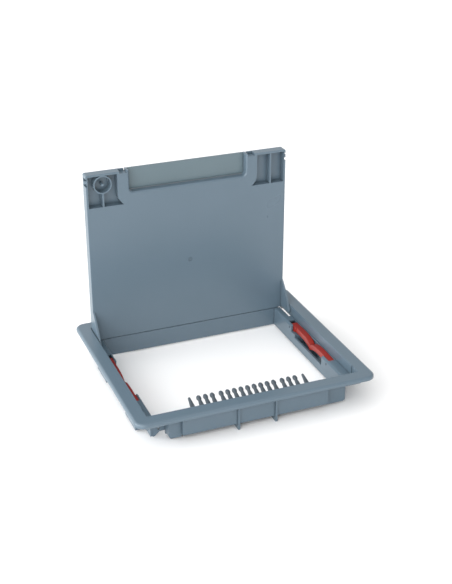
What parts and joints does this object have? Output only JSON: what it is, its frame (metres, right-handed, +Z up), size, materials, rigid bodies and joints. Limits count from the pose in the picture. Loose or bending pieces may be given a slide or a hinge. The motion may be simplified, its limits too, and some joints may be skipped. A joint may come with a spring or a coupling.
{
  "type": "floor box cover",
  "caption": "Rectangular floor box cover: rimmed frame with an inner ledge, hinged tray lid with a cable flap, a cable comb on the front ledge and sliding side latches.",
  "frame": {"origin": "under the middle of the rim, at the level of the feet that the frame stands on", "axes": "+X along the hinge to the right, +Y to the hinge side at the rear, +Z up; the lid stands open"},
  "size_m": [0.27, 0.236, 0.2257],
  "materials": {
    "body_plastic": "moulded blue-grey plastic, fine satin texture",
    "flap_plastic": "moulded grey plastic, slightly greener than the lid",
    "comb_plastic": "moulded dark grey flexible plastic",
    "latch_plastic": "moulded red plastic, semi-gloss",
    "pin_steel": "bright drawn steel"
  },
  "bodies": {
    "base": {"frame": "body_plastic", "cable_comb": "comb_plastic", "hinge_pin_left": "pin_steel", "hinge_pin_right": "pin_steel"},
    "lid": {"lid": "body_plastic"},
    "flap": {"cable_flap": "flap_plastic"},
    "latch_left": {"latch_left": "latch_plastic"},
    "latch_right": {"latch_right": "latch_plastic"}
  },
  "joints": [
    {"name": "lid_hinge", "type": "hinge", "parent": "base", "child": "lid", "pos_m": [0, 0.09635, 0.03035], "axis": [-1, 0, 0], "range_deg": [-90, 0]},
    {"name": "flap_hinge", "type": "hinge", "parent": "lid", "child": "flap", "pos_m": [0, 0.10075, 0.20195], "axis": [-1, 0, 0], "range_deg": [0, 90]},
    {"name": "latch_left_slide", "type": "slide", "parent": "base", "child": "latch_left", "axis": [0, 1, 0], "range_m": [0, 0.006]},
    {"name": "latch_right_slide", "type": "slide", "parent": "base", "child": "latch_right", "axis": [0, 1, 0], "range_m": [0, 0.006]}
  ]
}
